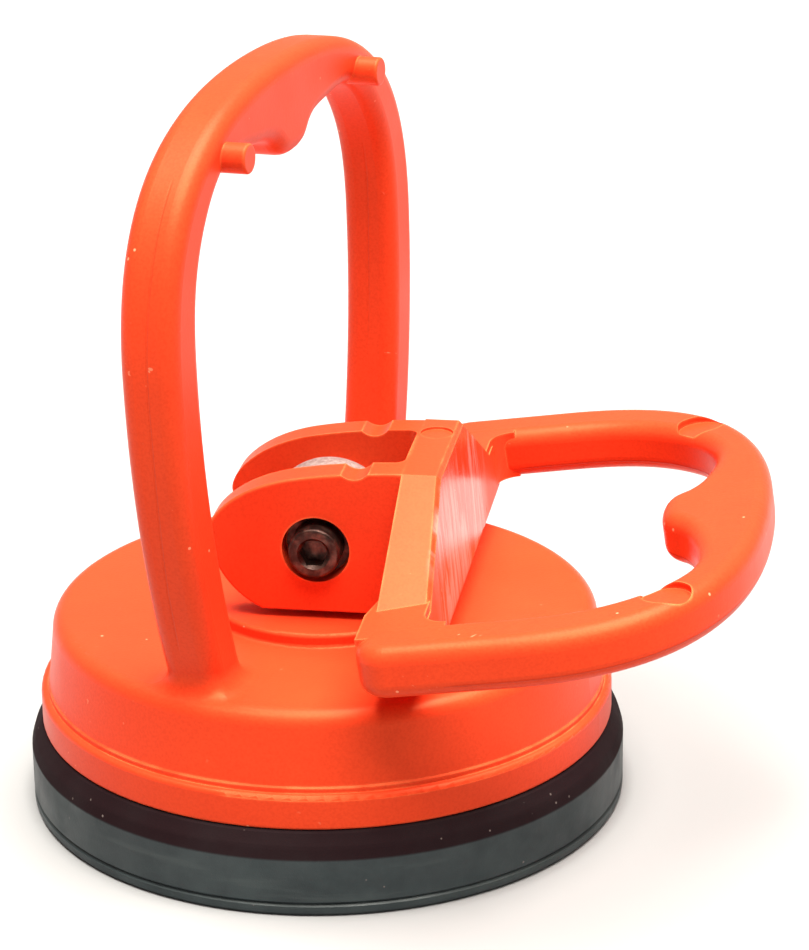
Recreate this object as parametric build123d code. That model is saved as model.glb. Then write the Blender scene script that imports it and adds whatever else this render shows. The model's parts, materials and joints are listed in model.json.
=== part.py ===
from build123d import *
import math
import os

# A hand suction-cup lifter. The origin is the centre of the pad's sealing face, +Z is up, the fixed
# handle stands in the YZ plane, and the cam lever points along +X, swung a little towards +Y.
# Lengths are in millimetres and angles in degrees.

# Rubber pad
PAD_R = 59.0
PAD_EDGE_Z = 11.3
PAD_WEB_Z = 9.0
PAD_POCKET_R = 10.5
PAD_POCKET_Z = 4.0
GROOVES = (46.5, 49.5, 52.5, 55.5)

# Housing
FLANGE_R = 56.6
FLANGE_Z = 16.4
FLANGE_TOP_Z = 23.0
WALL_FOOT_R = 54.9
WALL_TOP_R = 53.4
ROOF_Z = 38.5
ROOF_T = 4.0
RING_R = 23.5
RING_TOP_Z = 41.0
CAVITY_R = 50.0
BUSH_BORE_R = 8.5
RIB_COUNT = 12
FOOT_R = 4.0

# The shape that both handles share, measured from the pivot along the handle
LOOP_HALF_W = 61.2
LOOP_BAND = 12.2
LOOP_T = 10.2
HANDLE_T = 11.2
LOOP_WIDE_U = 41.0
LOOP_TIP_U = 86.0
LOOP_FULLNESS = 0.676
LEVER_SWELL_U = 65.0
HANDLE_SWELL_U = 67.0
LOOP_EDGE_R = 3.2
PEG_R = 2.8
PEG_L = 4.6
PEG_U = 75.0
PEG_V = 33.4
DIMPLE_R = 4.7
DIMPLE_DEPTH = 1.3
DIMPLE_U = 69.5
DIMPLE_V = 44.2

# Pivot, lever and cam
PIVOT_Z = 55.3
PIVOT_OFFSET = 1.2
LEVER_MAX = 84.0
LIFT_PER_RAD = 4.55
REST_SWING = 11.2
LEVER_TILT = 8.0
LOOP_TOP_C = -2.6
HANDLE_FACE_X = -2.2
HANDLE_LEAN = 1.3
EAR_OUT = 15.4
EAR_IN = 9.0
EAR_BOTTOM = -12.8
CROWN_TOP = 14.3
BLOCK_TOP = 16.3
SLOT_END = 16.4
WEB_HALF_W = 50.0
WEB_KNEE = 42.5
WEB_SECTION = ((16.9, 16.3), (24.3, 16.3), (27.4, -12.0), (15.8, -12.0))
WEB_END_Z = -0.4
ARM_ROOT_U = 14.0
ROOT_CORNER_R = 5.8

# Pivot screw, M6, and what turns on it
SCREW_R = 3.0
HEAD_R = 5.0
HEAD_H = 6.0
HEX_AF = 5.0
SINK_R = 6.6
SINK_DEPTH = 4.6
WASHER_T = 0.8
SLEEVE_R = 4.0
EYE_R = 12.1
EYE_W = 14.0
RUN = 0.05

# Lifting stem under the eye
STEM_R = 6.0
SHANK_R = 5.0
SHANK_TOP_Z = 18.0
SHANK_END_Z = 4.6
PLATE_R = 36.0
PLATE_T = 3.0
HUB_R = 9.0
HUB_TOP_Z = 17.0
CLIP_Z = 7.2
CLIP_T = 1.2
CLIP_GROOVE_R = 4.0

LIFT_MAX = LIFT_PER_RAD * math.radians(LEVER_MAX)


def revolved(points, rounds=()):
    """Turn a closed (radius, height) outline about Z, rounding the listed corners first."""
    face = Plane.XZ * make_face(Polyline(*points, close=True))
    for index, radius in rounds:
        r, z = points[index]
        corner = face.vertices().sort_by_distance(Vector(r, 0, z))[0]
        face = fillet(corner, radius)
    return revolve(face, Axis.Z)


def ring(outer, inner, z_low, z_high):
    """A plain washer or tube about Z."""
    height = z_high - z_low
    body = Cylinder(outer, height, align=(Align.CENTER, Align.CENTER, Align.MIN))
    if inner > 0:
        body -= Cylinder(inner, height, align=(Align.CENTER, Align.CENTER, Align.MIN))
    return Pos(0, 0, z_low) * body


def across(radius, y_low, y_high, x=0.0, z=0.0):
    """A cylinder along Y between two heights of Y."""
    length = y_high - y_low
    return Pos(x, (y_low + y_high) / 2, z) * Rot(90, 0, 0) * Cylinder(radius, length)


def place_lever(shape):
    """Move a piece from the pivot's own frame to its rest place on the object."""
    return Pos(0, 0, PIVOT_Z) * Rot(0, 0, REST_SWING) * Pos(PIVOT_OFFSET, 0, 0) * shape


# ---------------------------------------------------------------- pad and housing

def rubber_pad():
    """Thick rubber disc with sealing grooves below, a raised rim and a pocket for the stem's end."""
    rim_in = 46.0
    points = [
        (0, 0), (PAD_R - 0.4, 0), (PAD_R, 0.6), (PAD_R, 1.8), (PAD_R - 0.5, 2.3), (PAD_R, 2.8),
        (PAD_R, PAD_EDGE_Z), (PAD_R - 0.7, 13.6),
        (FLANGE_R + 0.3, FLANGE_Z - 0.5), (FLANGE_R - 0.4, FLANGE_Z), (rim_in + 3, FLANGE_Z),
        (rim_in, PAD_WEB_Z), (PAD_POCKET_R, PAD_WEB_Z), (PAD_POCKET_R, PAD_POCKET_Z), (0, PAD_POCKET_Z),
    ]
    pad = revolved(points, [(6, 0.8), (7, 3.0), (11, 3.0)])
    for radius in GROOVES:
        pad -= ring(radius + 0.5, radius - 0.5, 0, 0.6)
    return pad


def loop_outer_bend():
    """Half of the outer outline of a handle's rounded end."""
    reach = LOOP_TIP_U - LOOP_WIDE_U
    return Bezier(
        (LOOP_WIDE_U, LOOP_HALF_W),
        (LOOP_WIDE_U + LOOP_FULLNESS * reach, LOOP_HALF_W),
        (LOOP_TIP_U, LOOP_FULLNESS * LOOP_HALF_W),
        (LOOP_TIP_U, 0),
    )


def loop_inner_bend(swell_u):
    """Half of the inner outline of a handle's rounded end, with the finger swell at the middle."""
    half = LOOP_HALF_W - LOOP_BAND
    return Spline(
        (LOOP_WIDE_U, half), (62.5, 43.6), (73.0, 30.5), (72.9, 19.5), (swell_u + 3.6, 8.5), (swell_u, 0),
        tangents=((1, 0), (0, -1)),
    )


def handle_leg(half_width, foot_u, foot_in):
    """One side of a leg that draws in gently towards the foot."""
    middle = (foot_u + LOOP_WIDE_U) / 2
    return Bezier((foot_u, half_width - foot_in), (middle, half_width), (LOOP_WIDE_U, half_width))


def fixed_handle():
    """The upright stirrup handle with its two stop pegs, drawn along +X and then stood up."""
    foot_u = ROOF_Z - 2.0 - PIVOT_Z - LIFT_MAX
    foot_in = 13.0
    half = LOOP_HALF_W - LOOP_BAND
    outer = handle_leg(LOOP_HALF_W, foot_u, foot_in) + loop_outer_bend()
    inner = handle_leg(half, foot_u, foot_in) + loop_inner_bend(HANDLE_SWELL_U)
    foot = Line((foot_u, half - foot_in), (foot_u, LOOP_HALF_W - foot_in))
    middle = Line((HANDLE_SWELL_U, 0), (LOOP_TIP_U, 0))
    side = make_face(outer + inner + foot + middle)
    face = side + mirror(side, Plane.XZ)
    band = extrude(face, HANDLE_T)
    long_edges = band.edges().filter_by(lambda e: abs(e.center().Z - HANDLE_T / 2) > HANDLE_T / 2 - 0.01)
    foot_edges = band.edges().filter_by(lambda e: abs(e.center().X - foot_u) < 0.01)
    band = fillet(long_edges - foot_edges, LOOP_EDGE_R)
    for v in (-PEG_V, PEG_V):
        peg = Cylinder(PEG_R, PEG_L + 2, align=(Align.CENTER, Align.CENTER, Align.MAX))
        peg = fillet(peg.edges().sort_by(Axis.Z)[0], 0.5)
        band += Pos(PEG_U, v, 2) * peg
    band -= Pos(LOOP_TIP_U + 0.6, 12, HANDLE_T) * Cylinder(DIMPLE_R, 2 * DIMPLE_DEPTH)
    upright = Rot(0, -90 - HANDLE_LEAN, 0) * band
    return Pos(HANDLE_FACE_X, 0.6, PIVOT_Z + LIFT_MAX) * upright


def housing():
    """Round shell with an open underside, a raised wear ring and the fixed handle moulded on."""
    points = [
        (CAVITY_R + 1, FLANGE_Z), (FLANGE_R, FLANGE_Z), (FLANGE_R, FLANGE_TOP_Z),
        (WALL_FOOT_R + 0.3, FLANGE_TOP_Z + 0.3), (WALL_FOOT_R + 0.3, FLANGE_TOP_Z + 1.2),
        (WALL_FOOT_R, FLANGE_TOP_Z + 1.5), (WALL_TOP_R, ROOF_Z), (RING_R, ROOF_Z), (RING_R, RING_TOP_Z),
        (BUSH_BORE_R + RUN, RING_TOP_Z), (BUSH_BORE_R + RUN, ROOF_Z - ROOF_T),
        (CAVITY_R, ROOF_Z - ROOF_T),
    ]
    shell = revolved(points, [(1, 0.6), (2, 0.9), (6, 3.2), (7, 0.5), (8, 0.7), (11, 2.0)])
    for index in range(RIB_COUNT):
        rib = Pos((CAVITY_R + 21) / 2, 0, ROOF_Z - ROOF_T - 2.5) * Box(CAVITY_R - 21 + 2, 2.4, 6)
        shell += Rot(0, 0, 15 + index * 360 / RIB_COUNT) * rib
    body = shell + fixed_handle()
    feet = body.edges().filter_by(lambda e: abs(e.center().Z - ROOF_Z) < 0.8 and abs(e.center().Y) > 30)
    return fillet(feet, FOOT_R)


# ---------------------------------------------------------------- cam lever

def cam_point(angle):
    """Point of the cam's involute flank that touches the wear ring at a lever angle in radians."""
    stand_off = PIVOT_Z - RING_TOP_Z - 0.15 + LIFT_PER_RAD * angle
    x = -stand_off * math.sin(angle) - LIFT_PER_RAD * math.cos(angle)
    z = -stand_off * math.cos(angle) + LIFT_PER_RAD * math.sin(angle)
    return (x, z)


def cam_start():
    """Lever angle at which the involute flank leaves the flat foot of the ear."""
    low, high = 0.2, 0.8
    for _ in range(40):
        middle = (low + high) / 2
        if cam_point(middle)[1] < EAR_BOTTOM:
            low = middle
        else:
            high = middle
    return low


def ear_profile():
    """Side view of an ear: flat foot, involute cam flank, rounded nose and gently rising top."""
    start = cam_start()
    end = math.radians(LEVER_MAX)
    flank = [cam_point(start + (end - start) * step / 5) for step in range(6)]
    flank[0] = (flank[0][0], EAR_BOTTOM)
    nose = flank[-1]
    back_x = WEB_SECTION[1][0] - 3
    foot = Line((back_x, EAR_BOTTOM), flank[0])
    cam = Spline(*flank)
    crown = Bezier(nose, (-21.2, 6.3), (-15, 12.4), (-4, CROWN_TOP))
    top = Bezier((-4, CROWN_TOP), (6, 16.2), (back_x, BLOCK_TOP))
    back = Line((back_x, BLOCK_TOP), (back_x, EAR_BOTTOM))
    return make_face(foot + cam + crown + top + back)


def ears():
    """The solid cam block, before the slot is cut, with its outer side edges eased."""
    profile = Plane.XZ * ear_profile()
    block = extrude(profile, EAR_OUT, both=True)
    outline = block.edges().filter_by(lambda e: abs(abs(e.center().Y) - EAR_OUT) < 0.01)
    outline = outline.filter_by(lambda e: e.center().X < WEB_SECTION[1][0] - 3.5)
    return fillet(outline, 0.5)


def web():
    """The tall cross wall behind the ears, with a raked front and shoulders that slope to the arms."""
    section = Plane.XZ * make_face(Polyline(*WEB_SECTION, close=True))
    wall = extrude(section, WEB_HALF_W, both=True)
    low = WEB_SECTION[-1][1]
    gable = Polyline(
        (-WEB_HALF_W, low), (-WEB_HALF_W, WEB_END_Z), (-WEB_KNEE, WEB_END_Z), (-EAR_OUT, BLOCK_TOP),
        (EAR_OUT, BLOCK_TOP), (WEB_KNEE, WEB_END_Z), (WEB_HALF_W, WEB_END_Z), (WEB_HALF_W, low), close=True,
    )
    wall &= extrude(Plane.YZ * make_face(gable), 60)
    ridge = wall.edges().filter_by(lambda e: e.center().X > 23 and e.center().Z > 3)
    wall = chamfer(ridge, 0.8)
    rim = wall.edges().filter_by(Axis.Y).group_by(Axis.Z)[0].sort_by(Axis.X)[-1]
    return fillet(rim, 2.2)


def arm_bridges():
    """Flat webs that carry the arms' top faces in to the cross wall, drawn in the loop's plane."""
    front = WEB_SECTION[2][0] - 1.8
    outline = Polyline((30.1, 49.6), (30.1, 55), (ARM_ROOT_U, 55), (ARM_ROOT_U, 44), (17, 30), (front, 30), (front, 45.1))
    corner = ThreePointArc((front, 45.1), (26.92, 48.28), (30.1, 49.6))
    side = make_face(outline + corner)
    return extrude(side + mirror(side, Plane.XZ), -LOOP_T + 0.4)


def lever_loop():
    """The lever's stirrup: two arms and the rounded end with its finger swell."""
    half = LOOP_HALF_W - LOOP_BAND
    outer = Line((ARM_ROOT_U, LOOP_HALF_W), (LOOP_WIDE_U, LOOP_HALF_W)) + loop_outer_bend()
    inner = Line((ARM_ROOT_U, half), (LOOP_WIDE_U, half)) + loop_inner_bend(LEVER_SWELL_U)
    root = Line((ARM_ROOT_U, half), (ARM_ROOT_U, LOOP_HALF_W))
    middle = Line((LEVER_SWELL_U, 0), (LOOP_TIP_U, 0))
    side = make_face(outer + root + inner + middle)
    root_corners = side.vertices().filter_by(lambda v: abs(v.X - ARM_ROOT_U) < 0.01)
    side = fillet(root_corners, ROOT_CORNER_R)
    face = side + mirror(side, Plane.XZ)
    band = extrude(face, -LOOP_T)
    long_edges = band.edges().filter_by(lambda e: abs(e.center().Z + LOOP_T / 2) > LOOP_T / 2 - 0.01)
    band = fillet(long_edges, LOOP_EDGE_R)
    for v in (-DIMPLE_V, DIMPLE_V):
        band -= Pos(DIMPLE_U, v, 0) * Cylinder(DIMPLE_R, 2 * DIMPLE_DEPTH)
    band += Pos(0, 0, -0.05) * arm_bridges()
    return Rot(0, -LEVER_TILT, 0) * Pos(0, 0, LOOP_TOP_C) * band


def cam_lever():
    """Lever in one moulding: two cam ears, the cross wall and the stirrup handle."""
    lever = ears() + web() + lever_loop()
    slot = Box(60, 2 * EAR_IN, 60, align=(Align.MAX, Align.CENTER, Align.CENTER))
    slot = fillet(slot.edges().filter_by(Axis.Z).group_by(Axis.X)[-1], 2.0)
    lever -= Pos(SLOT_END, 0, 0) * slot
    lever -= across(SCREW_R + 0.15, -30, 30)
    for side in (-1, 1):
        low, high = sorted((side * (EAR_OUT - SINK_DEPTH), side * 30))
        lever -= across(SINK_R, low, high)
    scoop_r = 3.6
    lever -= across(scoop_r, -30, 30, 7.6, 15.7 + scoop_r - 1.1)
    lever -= Pos(20.2, 8.0, BLOCK_TOP) * Cylinder(3.2, 0.9)
    return place_lever(lever)


# ---------------------------------------------------------------- pivot hardware

def pivot_screw():
    """M6 by 30 socket-head cap screw with a rounded head and a hexagon socket."""
    under = -(EAR_OUT - SINK_DEPTH + WASHER_T)
    head = Cylinder(HEAD_R, HEAD_H, align=(Align.CENTER, Align.CENTER, Align.MIN))
    head = fillet(head.edges().sort_by(Axis.Z)[-1], 0.6)
    socket = extrude(RegularPolygon(HEX_AF / 2, 6, major_radius=False), 3.2)
    mouth = Cone(HEX_AF / 2, HEX_AF / 2 + 0.7, 0.7, align=(Align.CENTER, Align.CENTER, Align.MAX))
    head = head - Pos(0, 0, HEAD_H - 3.2) * socket - Pos(0, 0, HEAD_H) * mouth
    shank = Cylinder(SCREW_R, 30, align=(Align.CENTER, Align.CENTER, Align.MAX))
    shank = chamfer(shank.edges().sort_by(Axis.Z)[0], 0.6)
    return place_lever(Pos(0, under, 0) * Rot(90, 0, 0) * (head + shank))


def pivot_washers():
    """Flat washer under the screw head and another under the lock nut."""
    seat = EAR_OUT - SINK_DEPTH
    washers = []
    for side in (-1, 1):
        low, high = sorted((side * seat, side * (seat + WASHER_T)))
        washers.append(place_lever(across(6.25, low, high) - across(SCREW_R + 0.2, -30, 30)))
    return Compound(children=washers)


def pivot_lock_nut():
    """M6 prevailing-torque hexagon nut with a turned collar for its insert."""
    start = EAR_OUT - SINK_DEPTH + WASHER_T
    nut = extrude(RegularPolygon(5, 6, major_radius=False), 4.6)
    nut += Pos(0, 0, 4.6) * Cylinder(4.6, 1.4, align=(Align.CENTER, Align.CENTER, Align.MIN))
    nut -= Cylinder(SCREW_R, 30)
    nut -= Pos(0, 0, 4.4) * Cylinder(4.0, 1.2, align=(Align.CENTER, Align.CENTER, Align.MIN))
    return place_lever(Pos(0, start, 0) * Rot(-90, 0, 0) * nut)


def lock_nut_insert():
    """Nylon ring that grips the screw's thread inside the lock nut."""
    start = EAR_OUT - SINK_DEPTH + WASHER_T
    return place_lever(across(4.0, start + 4.4, start + 5.6) - across(SCREW_R, -30, 30))


def pivot_sleeve():
    """Steel tube clamped between the ears; the eye turns on it."""
    return place_lever(across(SLEEVE_R, -EAR_IN, EAR_IN) - across(SCREW_R + 0.1, -30, 30))


def eye_spacers():
    """Two nylon rings that keep the eye in the middle of the slot."""
    rings = []
    for side in (-1, 1):
        low, high = sorted((side * (EYE_W / 2 + 0.1), side * (EAR_IN - 0.1)))
        rings.append(place_lever(across(8.5, low, high) - across(SLEEVE_R + RUN, -30, 30)))
    return Compound(children=rings)


# ---------------------------------------------------------------- lifting stem

def pivot_eye():
    """Cast eye on a stepped stem that runs down through the housing to the backing plate."""
    eye = across(EYE_R, -EYE_W / 2, EYE_W / 2)
    eye = fillet(eye.edges().filter_by(GeomType.CIRCLE), 4.5)
    bore = across(SLEEVE_R + RUN, -30, 30)
    stem_top = ring(STEM_R, 0, SHANK_TOP_Z, PIVOT_Z - 8)
    collar = ring(6.8, 0, RING_TOP_Z + 0.6, PIVOT_Z - 8)
    shank = ring(SHANK_R, 0, SHANK_END_Z, SHANK_TOP_Z)
    shank = chamfer(shank.edges().sort_by(Axis.Z)[0], 0.4)
    groove = ring(SHANK_R + 1, CLIP_GROOVE_R, CLIP_Z - RUN, CLIP_Z + CLIP_T + RUN)
    return place_lever(eye) + stem_top + collar + shank - groove - place_lever(bore)


def backing_plate():
    """Steel disc on the pad's middle with a pressed hub that the stem turns in."""
    points = [
        (SHANK_R + RUN, PAD_WEB_Z), (PLATE_R, PAD_WEB_Z), (PLATE_R, PAD_WEB_Z + PLATE_T),
        (HUB_R, PAD_WEB_Z + PLATE_T), (HUB_R, HUB_TOP_Z), (SHANK_R + RUN, HUB_TOP_Z),
    ]
    plate = revolved(points, [(2, 1.0), (3, 2.0), (4, 1.0)])
    for index in range(6):
        plate -= Rot(0, 0, index * 60) * Pos(24, 0, 0) * ring(3.0, 0, 0, 30)
    return plate


def thrust_washer():
    """Hardened ring between the stem's shoulder and the plate's hub."""
    return ring(7.5, SHANK_R + RUN, HUB_TOP_Z, SHANK_TOP_Z)


def stem_clip():
    """E-shaped retaining clip in the stem's groove, under the backing plate."""
    clip = ring(7.6, CLIP_GROOVE_R, CLIP_Z, CLIP_Z + CLIP_T)
    clip -= Pos(8, 0, CLIP_Z) * Box(16, 6.6, 8)
    for side in (-1, 1):
        clip -= Rot(0, 0, side * 100) * Pos(5.7, 0, CLIP_Z) * Box(2.0, 1.6, 8)
    return Rot(0, 0, REST_SWING) * clip


def guide_bush():
    """Flanged acetal bush that guides the stem through the roof."""
    under = ROOF_Z - ROOF_T
    bush = ring(BUSH_BORE_R, 0, under, RING_TOP_Z - 0.3)
    bush += ring(11.0, 0, under - 1.5, under)
    return bush - ring(STEM_R + RUN, 0, 0, 60)


def spring_seat():
    """Pressed steel ring that spreads the spring's load on the roof."""
    under = ROOF_Z - ROOF_T
    return ring(18.0, 11.4, under - 1.2, under)


def return_spring():
    """Compression spring that pushes the pad flat again when the lever goes down."""
    wire_r = 0.9
    coil_r = 14.5
    low = PAD_WEB_Z + PLATE_T + wire_r
    high = ROOF_Z - ROOF_T - 1.2 - wire_r
    path = Helix(pitch=(high - low) / 5, height=high - low, radius=coil_r)
    start = Plane(origin=path @ 0, z_dir=path % 0)
    wire = sweep(start * Circle(wire_r), path=path, is_frenet=True)
    coil = Pos(0, 0, low) * wire
    closed_low = Pos(0, 0, low) * Torus(coil_r, wire_r)
    closed_high = Pos(0, 0, high) * Torus(coil_r, wire_r)
    return coil + closed_low + closed_high


NODES = {
    "housing": housing,
    "rubber_pad": rubber_pad,
    "guide_bush": guide_bush,
    "spring_seat": spring_seat,
    "return_spring": return_spring,
    "backing_plate": backing_plate,
    "thrust_washer": thrust_washer,
    "pivot_eye": pivot_eye,
    "stem_clip": stem_clip,
    "cam_lever": cam_lever,
    "pivot_screw": pivot_screw,
    "pivot_washers": pivot_washers,
    "pivot_lock_nut": pivot_lock_nut,
    "lock_nut_insert": lock_nut_insert,
    "pivot_sleeve": pivot_sleeve,
    "eye_spacers": eye_spacers,
}

os.makedirs("parts", exist_ok=True)
for name, make in NODES.items():
    export_step(make(), f"parts/{name}.step")
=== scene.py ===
import json
import math

import bpy
from mathutils import Matrix, Vector


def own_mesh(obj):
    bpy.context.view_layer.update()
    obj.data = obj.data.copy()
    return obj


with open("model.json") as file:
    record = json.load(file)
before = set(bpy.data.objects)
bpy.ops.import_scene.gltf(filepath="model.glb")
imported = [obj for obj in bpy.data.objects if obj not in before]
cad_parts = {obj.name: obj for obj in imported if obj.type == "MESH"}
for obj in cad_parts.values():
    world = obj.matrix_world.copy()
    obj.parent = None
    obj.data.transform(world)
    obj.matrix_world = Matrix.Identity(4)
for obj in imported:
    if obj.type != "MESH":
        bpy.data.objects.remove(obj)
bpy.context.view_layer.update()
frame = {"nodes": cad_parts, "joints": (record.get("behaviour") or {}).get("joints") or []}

# A hand suction-cup lifter on a plain pale floor. Lengths are in metres, in the CAD model's own frame:
# the origin is the centre of the pad's face, +Z is up and the lever points along +X, swung towards +Y.

MM = 0.001

# The lever's own frame, taken from its pivot joint
nodes = frame["nodes"]
pivot = next(joint for joint in frame["joints"] if joint["name"] == "lever_pivot")
PIVOT = Vector(pivot["pos_m"])
SWING = math.atan2(pivot["axis"][0], -pivot["axis"][1])
LEVER_TILT = math.radians(8.0)


# ---------------------------------------------------------------- node helpers

class Shader:
    """A Principled material with short calls for the nodes that feed it."""

    def __init__(self, name, colour, roughness, metallic=0.0, specular=0.5):
        self.material = bpy.data.materials.new(name)
        self.material.use_nodes = True
        self.tree = self.material.node_tree
        self.surface = self.tree.nodes["Principled BSDF"]
        self.surface.inputs["Base Color"].default_value = (*colour, 1.0)
        self.surface.inputs["Roughness"].default_value = roughness
        self.surface.inputs["Metallic"].default_value = metallic
        self.surface.inputs["Specular IOR Level"].default_value = specular
        self.place = self.tree.nodes.new("ShaderNodeTexCoord").outputs["Object"]

    def add(self, kind, **settings):
        node = self.tree.nodes.new(kind)
        for key, value in settings.items():
            setattr(node, key, value)
        return node

    def put(self, socket, value):
        if isinstance(value, bpy.types.NodeSocket):
            self.tree.links.new(value, socket)
        else:
            socket.default_value = value

    def moved(self, origin=(0, 0, 0), turn=(0, 0, 0), scale=(1, 1, 1)):
        """Object coordinates measured from origin along turned axes, then scaled."""
        shift = self.add("ShaderNodeVectorMath", operation="SUBTRACT")
        self.put(shift.inputs[0], self.place)
        self.put(shift.inputs[1], origin)
        spin = self.add("ShaderNodeVectorRotate", rotation_type="EULER_XYZ", invert=True)
        self.put(spin.inputs["Vector"], shift.outputs[0])
        self.put(spin.inputs["Rotation"], turn)
        grow = self.add("ShaderNodeVectorMath", operation="MULTIPLY")
        self.put(grow.inputs[0], spin.outputs[0])
        self.put(grow.inputs[1], scale)
        return grow.outputs[0]

    def axes(self, vector):
        split = self.add("ShaderNodeSeparateXYZ")
        self.put(split.inputs[0], vector)
        return split.outputs

    def maths(self, operation, first, second=0.0, clamp=False):
        node = self.add("ShaderNodeMath", operation=operation, use_clamp=clamp)
        self.put(node.inputs[0], first)
        self.put(node.inputs[1], second)
        return node.outputs[0]

    def ramp(self, value, low, high, out_low=0.0, out_high=1.0):
        """Smooth step from out_low to out_high as value goes from low to high."""
        node = self.add("ShaderNodeMapRange", interpolation_type="SMOOTHSTEP")
        self.put(node.inputs["Value"], value)
        self.put(node.inputs["From Min"], low)
        self.put(node.inputs["From Max"], high)
        self.put(node.inputs["To Min"], out_low)
        self.put(node.inputs["To Max"], out_high)
        return node.outputs["Result"]

    def noise(self, scale, detail=3.0, rough=0.5, vector=None, distortion=0.0):
        node = self.add("ShaderNodeTexNoise")
        self.put(node.inputs["Vector"], self.place if vector is None else vector)
        self.put(node.inputs["Scale"], scale)
        self.put(node.inputs["Detail"], detail)
        self.put(node.inputs["Roughness"], rough)
        self.put(node.inputs["Distortion"], distortion)
        return node.outputs[0]

    def cells(self, scale, vector=None):
        """Distance to the nearest of many scattered points."""
        node = self.add("ShaderNodeTexVoronoi")
        self.put(node.inputs["Vector"], self.place if vector is None else vector)
        self.put(node.inputs["Scale"], scale)
        return node.outputs["Distance"]

    def blend(self, share, first, second):
        """Mix of two colours."""
        node = self.add("ShaderNodeMix", data_type="RGBA")
        self.put(node.inputs["Factor"], share)
        self.put(node.inputs["A"], first)
        self.put(node.inputs["B"], second)
        return node.outputs["Result"]

    def band(self, value, centre, half_width):
        """One near the centre value, falling to nothing at half_width on both sides."""
        off = self.maths("ABSOLUTE", self.maths("SUBTRACT", value, centre))
        return self.ramp(off, 0.4 * half_width, half_width, 1.0, 0.0)

    def edges(self, radius):
        """One on the model's rounded and sharp edges, nothing on its flats."""
        bevel = self.add("ShaderNodeBevel", samples=4)
        self.put(bevel.inputs["Radius"], radius)
        flat = self.add("ShaderNodeNewGeometry").outputs["Normal"]
        node = self.add("ShaderNodeVectorMath", operation="DOT_PRODUCT")
        self.put(node.inputs[0], bevel.outputs[0])
        self.put(node.inputs[1], flat)
        return self.ramp(node.outputs["Value"], 0.90, 0.99, 1.0, 0.0)

    def bump(self, layers):
        """Stack bump layers, each (height, distance in metres, strength)."""
        normal = None
        for height, distance, strength in layers:
            node = self.add("ShaderNodeBump")
            self.put(node.inputs["Height"], height)
            self.put(node.inputs["Distance"], distance)
            self.put(node.inputs["Strength"], strength)
            if normal is not None:
                self.put(node.inputs["Normal"], normal)
            normal = node.outputs["Normal"]
        self.put(self.surface.inputs["Normal"], normal)

    def base(self, colour):
        self.put(self.surface.inputs["Base Color"], colour)

    def rough(self, value):
        self.put(self.surface.inputs["Roughness"], value)


def rgba(red, green, blue):
    return (red, green, blue, 1.0)


# ---------------------------------------------------------------- materials

PLASTIC = (0.68, 0.044, 0.013)
PLASTIC_PALE = (1.0, 0.42, 0.24)
PLASTIC_DARK = (0.42, 0.016, 0.006)

# Heights between which the pad's outer side turns over into its shoulder, painted darker as shade under the
# housing's flange
RIDGE_HEIGHTS = (11.0 * MM, 11.6 * MM)
# Where the handle's parting line runs, across the handle's thickness
HANDLE_PARTING_X = -7.8 * MM
# How far below the lever's pivot plane its parting line runs
LEVER_PARTING_C = -10.5 * MM
# Distance of the cross wall's front face from the pivot, near to far
WALL_FRONT_NEAR = (23.8 * MM, 24.8 * MM)
WALL_FRONT_FAR = (28.5 * MM, 30.0 * MM)


def moulded_plastic(name):
    """Glossy orange-red plastic with a fine mould texture, flow mottling, scuffs, specks, and pale edges that are
    partly edge wear and partly painted highlights.
    """
    shader = Shader(name, PLASTIC, 0.38, specular=0.24)
    shader.surface.inputs["Specular Tint"].default_value = rgba(1.0, 0.6, 0.25)
    grain = shader.noise(1900, detail=2.0)
    mottle = shader.noise(75, detail=4.0, rough=0.6)
    colour = shader.blend(shader.ramp(mottle, 0.3, 0.75, 0.0, 0.16), rgba(*PLASTIC), rgba(0.74, 0.066, 0.017))
    colour = shader.blend(shader.ramp(grain, 0.35, 0.75, 0.0, 0.3), colour, rgba(0.5, 0.022, 0.006))

    scratch_map = shader.moved(turn=(0.5, 0.25, 0.9), scale=(60, 900, 900))
    scratches = shader.ramp(shader.noise(1.0, detail=2.0, vector=scratch_map), 0.70, 0.76)
    patches = shader.ramp(shader.noise(38, detail=3.0, rough=0.65), 0.56, 0.68)
    scratches = shader.maths("MULTIPLY", scratches, patches)
    specks = shader.ramp(shader.cells(240), 0.055, 0.085, 1.0, 0.0)
    specks = shader.maths("MULTIPLY", specks, shader.ramp(shader.noise(55), 0.55, 0.62))
    # Pale orange along the edges, broken up by noise: painted highlight lines, partly edge wear.
    patchy = shader.maths("MULTIPLY", shader.edges(0.0007), shader.ramp(shader.noise(160), 0.35, 0.6, 0.25, 1.0))
    colour = shader.blend(shader.maths("MULTIPLY", patchy, 0.5), colour, rgba(1.0, 0.26, 0.09))
    colour = shader.blend(shader.maths("MULTIPLY", scratches, 0.35), colour, rgba(*PLASTIC_PALE))
    colour = shader.blend(shader.maths("MULTIPLY", specks, 0.55), colour, rgba(*PLASTIC_PALE))
    return shader, colour, grain, scratches


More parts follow.
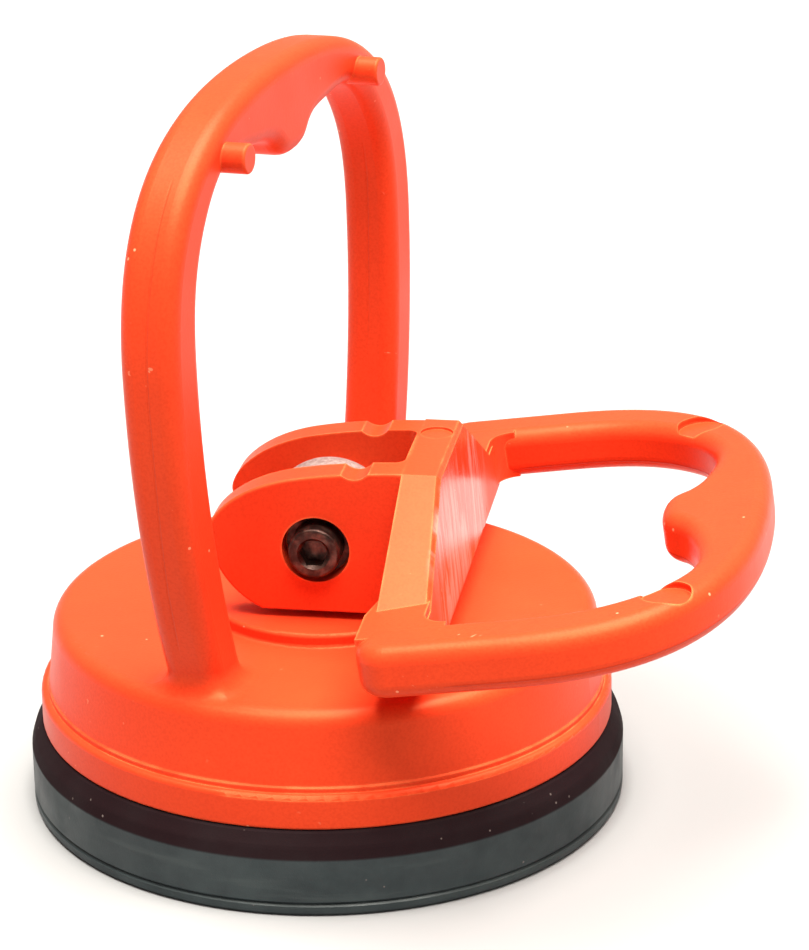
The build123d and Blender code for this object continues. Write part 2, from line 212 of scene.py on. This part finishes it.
def housing_plastic():
    """The housing and fixed handle: parting line down the handle's middle, glossy crown."""
    shader, colour, grain, scratches = moulded_plastic("housing_plastic")
    x, y, z = shader.axes(shader.place)
    above = shader.ramp(z, 0.046, 0.052)
    wave = shader.maths("MULTIPLY", shader.noise(30, detail=1.0), 0.0012)
    line = shader.band(shader.maths("ADD", x, wave), HANDLE_PARTING_X, 0.00026)
    outer = shader.ramp(shader.maths("ABSOLUTE", y), 0.046, 0.05)
    line = shader.maths("MULTIPLY", shader.maths("MULTIPLY", line, above), outer)
    colour = shader.blend(shader.maths("MULTIPLY", line, 0.12), colour, rgba(*PLASTIC_DARK))
    shader.base(colour)
    rough = shader.ramp(shader.noise(28, detail=4.0), 0.3, 0.7, 0.33, 0.45)
    rough = shader.maths("ADD", rough, shader.maths("MULTIPLY", scratches, 0.2), clamp=True)
    shader.rough(rough)
    shader.bump([
        (shader.noise(42, detail=2.0), 0.0004, 0.25),
        (grain, 0.00006, 0.35),
        (line, -0.0001, 0.8),
        (scratches, -0.00005, 0.6),
    ])
    return shader.material


def lever_plastic():
    """The cam lever: as the housing, with a polished front on the cross wall whose pale pink streaks are partly
    scuffs and partly a painted reflection.
    """
    shader, colour, grain, scratches = moulded_plastic("lever_plastic")
    local = shader.moved(origin=tuple(PIVOT), turn=(0, 0, SWING))
    d, v, h = shader.axes(local)
    front = shader.ramp(d, *WALL_FRONT_NEAR)
    front = shader.maths("MULTIPLY", front, shader.ramp(d, *WALL_FRONT_FAR, 1.0, 0.0))
    front = shader.maths("MULTIPLY", front, shader.ramp(shader.maths("ABSOLUTE", v), 0.022, 0.038, 1.0, 0.0))
    streak_map = shader.moved(origin=tuple(PIVOT), turn=(-0.12, 0, SWING), scale=(200, 330, 45))
    streaks = shader.noise(1.0, detail=5.0, rough=0.62, vector=streak_map, distortion=0.6)
    # Pale pink streaks on the cross wall's front: partly scuffs, partly a painted reflection of the wall's glossy
    # sheen.
    pale_streaks = shader.maths("MULTIPLY", front, shader.ramp(streaks, 0.42, 0.62))
    pale_streaks = shader.maths("MULTIPLY", pale_streaks, shader.band(h, 0.001, 0.0165))
    nicks = shader.maths("MULTIPLY", front, shader.ramp(streaks, 0.66, 0.72))
    colour = shader.blend(shader.maths("MULTIPLY", pale_streaks, 0.3), colour, rgba(0.95, 0.58, 0.54))
    colour = shader.blend(shader.maths("MULTIPLY", nicks, 0.6), colour, rgba(*PLASTIC_DARK))

    tilted = shader.moved(origin=tuple(PIVOT), turn=(0, -LEVER_TILT, SWING))
    u, _, c = shader.axes(tilted)
    loop = shader.ramp(u, 0.029, 0.033)
    line = shader.maths("MULTIPLY", shader.band(c, LEVER_PARTING_C, 0.0003), loop)
    colour = shader.blend(shader.maths("MULTIPLY", line, 0.4), colour, rgba(*PLASTIC_DARK))
    shader.base(colour)

    rough = shader.ramp(shader.noise(28, detail=4.0), 0.3, 0.7, 0.33, 0.45)
    rough = shader.maths("SUBTRACT", rough, shader.maths("MULTIPLY", front, 0.16))
    rough = shader.maths("ADD", rough, shader.maths("MULTIPLY", scratches, 0.2), clamp=True)
    shader.rough(rough)
    shader.bump([
        (shader.noise(42, detail=2.0), 0.0004, 0.25),
        (grain, 0.00006, 0.35),
        (line, 0.00012, 0.8),
        (streaks, 0.00012, 0.35),
        (scratches, -0.00005, 0.6),
    ])
    return shader.material


def pad_rubber():
    """Moulded black rubber: fine pores, cloudy bloom, pale dust specks and a trimmed flash line."""
    shader = Shader("pad_rubber", (0.03, 0.042, 0.042), 0.5, specular=0.4)
    cloud = shader.noise(60, detail=5.0, rough=0.65)
    grain = shader.noise(3200, detail=2.0)
    colour = shader.blend(shader.ramp(cloud, 0.35, 0.72), rgba(0.013, 0.021, 0.024), rgba(0.026, 0.038, 0.041))
    z = shader.axes(shader.place)[2]
    rub_map = shader.moved(scale=(25, 25, 240))
    rub = shader.ramp(shader.noise(1.0, detail=4.0, vector=rub_map), 0.55, 0.7)
    side = shader.ramp(z, 0.0112, 0.0125, 1.0, 0.0)
    pale_streaks = shader.maths("MULTIPLY", rub, side)
    colour = shader.blend(shader.maths("MULTIPLY", pale_streaks, 0.4), colour, rgba(0.055, 0.07, 0.07))
    # The shoulder under the flange: painted shade, tinted red as a painted reflection of the orange flange.
    shaded_shoulder = shader.ramp(z, *RIDGE_HEIGHTS)
    colour = shader.blend(shader.maths("MULTIPLY", shaded_shoulder, 0.85), colour, rgba(0.012, 0.002, 0.003))
    specks = shader.ramp(shader.cells(420), 0.07, 0.12, 1.0, 0.0)
    specks = shader.maths("MULTIPLY", specks, shader.ramp(shader.noise(130), 0.54, 0.64))
    colour = shader.blend(shader.maths("MULTIPLY", specks, 0.5), colour, rgba(0.3, 0.24, 0.22))
    shader.base(colour)
    dull = shader.maths("MULTIPLY", shaded_shoulder, 0.25)
    shader.rough(shader.maths("ADD", shader.ramp(shader.noise(90, detail=4.0), 0.3, 0.7, 0.42, 0.62), dull))
    shader.put(shader.surface.inputs["Specular IOR Level"], shader.ramp(z, *RIDGE_HEIGHTS, 0.4, 0.06))
    shader.bump([
        (cloud, 0.0003, 0.3),
        (grain, 0.00008, 0.5),
        (specks, 0.0001, 0.5),
    ])
    return shader.material


def black_oxide():
    """Oiled black-oxide steel, with brown rubbed patches and fine turning marks."""
    shader = Shader("black_oxide", (0.03, 0.02, 0.018), 0.34, metallic=0.85)
    patchy = shader.noise(420, detail=4.0, rough=0.6)
    colour = shader.blend(shader.ramp(patchy, 0.4, 0.72), rgba(0.035, 0.018, 0.015), rgba(0.13, 0.07, 0.055))
    shader.base(colour)
    shader.rough(shader.ramp(shader.noise(700, detail=3.0), 0.3, 0.7, 0.28, 0.5))
    shader.bump([(shader.noise(2500, detail=3.0), 0.00006, 0.6), (patchy, 0.00008, 0.4)])
    return shader.material


def cast_metal():
    """Light grey casting, pitted, with a pinkish cast from its surroundings."""
    shader = Shader("cast_metal", (0.6, 0.56, 0.55), 0.5, metallic=0.55)
    pits = shader.noise(900, detail=5.0, rough=0.7)
    colour = shader.blend(shader.ramp(pits, 0.38, 0.66), rgba(0.26, 0.17, 0.16), rgba(0.46, 0.36, 0.34))
    shader.base(colour)
    shader.rough(shader.ramp(pits, 0.3, 0.7, 0.62, 0.38))
    shader.bump([(pits, 0.0003, 0.5), (shader.noise(2200, detail=2.0), 0.00008, 0.5)])
    return shader.material


def plated_steel():
    """Zinc-plated steel with a cloudy spangle and fine brushing."""
    shader = Shader("plated_steel", (0.62, 0.62, 0.6), 0.32, metallic=1.0)
    cloud = shader.noise(260, detail=4.0)
    colour = shader.blend(shader.ramp(cloud, 0.35, 0.7), rgba(0.5, 0.5, 0.48), rgba(0.74, 0.74, 0.72))
    shader.base(colour)
    shader.rough(shader.ramp(cloud, 0.3, 0.7, 0.24, 0.42))
    brushed = shader.moved(scale=(2400, 2400, 160))
    shader.bump([(shader.noise(1.0, detail=2.0, vector=brushed), 0.00004, 0.4)])
    return shader.material


def white_acetal():
    """Milky engineering plastic with faint machining rings."""
    shader = Shader("white_acetal", (0.78, 0.77, 0.72), 0.42)
    cloud = shader.noise(200, detail=3.0)
    shader.base(shader.blend(shader.ramp(cloud, 0.3, 0.7), rgba(0.72, 0.71, 0.66), rgba(0.84, 0.83, 0.79)))
    shader.rough(shader.ramp(cloud, 0.3, 0.7, 0.36, 0.5))
    rings = shader.moved(scale=(400, 400, 3000))
    shader.bump([(shader.noise(1.0, detail=2.0, vector=rings), 0.00004, 0.4)])
    return shader.material


FINISHES = {
    housing_plastic: ["housing"],
    lever_plastic: ["cam_lever"],
    pad_rubber: ["rubber_pad"],
    black_oxide: ["pivot_screw", "pivot_washers", "pivot_lock_nut"],
    cast_metal: ["pivot_eye"],
    plated_steel: ["spring_seat", "return_spring", "backing_plate", "thrust_washer", "stem_clip", "pivot_sleeve"],
    white_acetal: ["guide_bush", "lock_nut_insert", "eye_spacers"],
}


def finish_nodes():
    """Give every carried-over CAD node its material."""
    for make, names in FINISHES.items():
        material = make()
        for name in names:
            node = nodes[name]
            for slot in node.material_slots:
                slot.material = material


# ---------------------------------------------------------------- stage, light and camera

FLOOR_HALF = 6.0
FLOOR_DROP = 0.2 * MM
SUN_STRENGTH = 14.0
SUN_SPREAD = 56

def make_floor():
    """Plain pale floor under and behind the object."""
    shader = Shader("floor_paper", (0.28, 0.28, 0.29), 0.85, specular=0.1)
    mesh = bpy.data.meshes.new("floor")
    corners = [(x * FLOOR_HALF, y * FLOOR_HALF, 0) for x, y in ((-1, -1), (1, -1), (1, 1), (-1, 1))]
    mesh.from_pydata(corners, [], [(0, 1, 2, 3)])
    mesh.materials.append(shader.material)
    floor = bpy.data.objects.new("floor", mesh)
    floor.location.z = -FLOOR_DROP
    bpy.context.scene.collection.objects.link(floor)


def make_light():
    """Even dim surroundings behind a white backdrop, and a very broad overhead light."""
    world = bpy.data.worlds.new("studio")
    world.use_nodes = True
    sky = world.node_tree.nodes["Background"]
    sky.inputs["Color"].default_value = (1.0, 0.86, 0.78, 1)
    sky.inputs["Strength"].default_value = 0.42
    lights = world.node_tree
    backdrop = lights.nodes.new("ShaderNodeBackground")
    backdrop.inputs["Color"].default_value = (1, 1, 1, 1)
    seen = lights.nodes.new("ShaderNodeLightPath").outputs["Is Camera Ray"]
    choose = lights.nodes.new("ShaderNodeMixShader")
    lights.links.new(seen, choose.inputs["Fac"])
    lights.links.new(sky.outputs[0], choose.inputs[1])
    lights.links.new(backdrop.outputs[0], choose.inputs[2])
    lights.links.new(choose.outputs[0], lights.nodes["World Output"].inputs["Surface"])
    bpy.context.scene.world = world

    def sun(name, strength, spread, direction, colour):
        lamp = bpy.data.lights.new(name, "SUN")
        lamp.energy = strength
        lamp.angle = math.radians(spread)
        lamp.color = colour
        holder = bpy.data.objects.new(name, lamp)
        holder.rotation_euler = Vector(direction).to_track_quat("-Z", "Y").to_euler()
        bpy.context.scene.collection.objects.link(holder)

    sun("overhead", SUN_STRENGTH, SUN_SPREAD, (-0.1, 0.0, -1.0), (1.0, 0.97, 0.88))


CAMERA_DISTANCE = 602.1 * MM
CAMERA_HEIGHT = 294.9 * MM
CAMERA_AZIMUTH = math.radians(21.84)
CAMERA_YAW = math.radians(20.32)
CAMERA_PITCH = math.radians(20.90)
CAMERA_ROLL = math.radians(-0.77)
FOCAL_PER_WIDTH = 4.0925
SHIFT_UP = -0.0031


def make_camera():
    """Camera at the object's near right, looking down a little."""
    forward = Vector((
        -math.sin(CAMERA_YAW) * math.cos(CAMERA_PITCH),
        math.cos(CAMERA_YAW) * math.cos(CAMERA_PITCH),
        -math.sin(CAMERA_PITCH),
    ))
    right = Vector((math.cos(CAMERA_YAW), math.sin(CAMERA_YAW), 0))
    up = right.cross(forward)
    right, up = (
        math.cos(CAMERA_ROLL) * right + math.sin(CAMERA_ROLL) * up,
        -math.sin(CAMERA_ROLL) * right + math.cos(CAMERA_ROLL) * up,
    )
    place = Vector((
        CAMERA_DISTANCE * math.sin(CAMERA_AZIMUTH),
        -CAMERA_DISTANCE * math.cos(CAMERA_AZIMUTH),
        CAMERA_HEIGHT,
    ))
    data = bpy.data.cameras.new("camera")
    data.sensor_fit = "HORIZONTAL"
    data.sensor_width = 36.0
    data.lens = 36.0 * FOCAL_PER_WIDTH
    data.shift_y = SHIFT_UP
    data.clip_start = 0.01
    camera = bpy.data.objects.new("camera", data)
    turn = Matrix((right, up, -forward)).transposed()
    camera.matrix_world = Matrix.Translation(place) @ turn.to_4x4()
    bpy.context.scene.collection.objects.link(camera)
    bpy.context.scene.camera = camera


finish_nodes()
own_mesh(nodes["return_spring"])
make_floor()
make_light()
make_camera()
bpy.context.scene.view_settings.view_transform = "Standard"
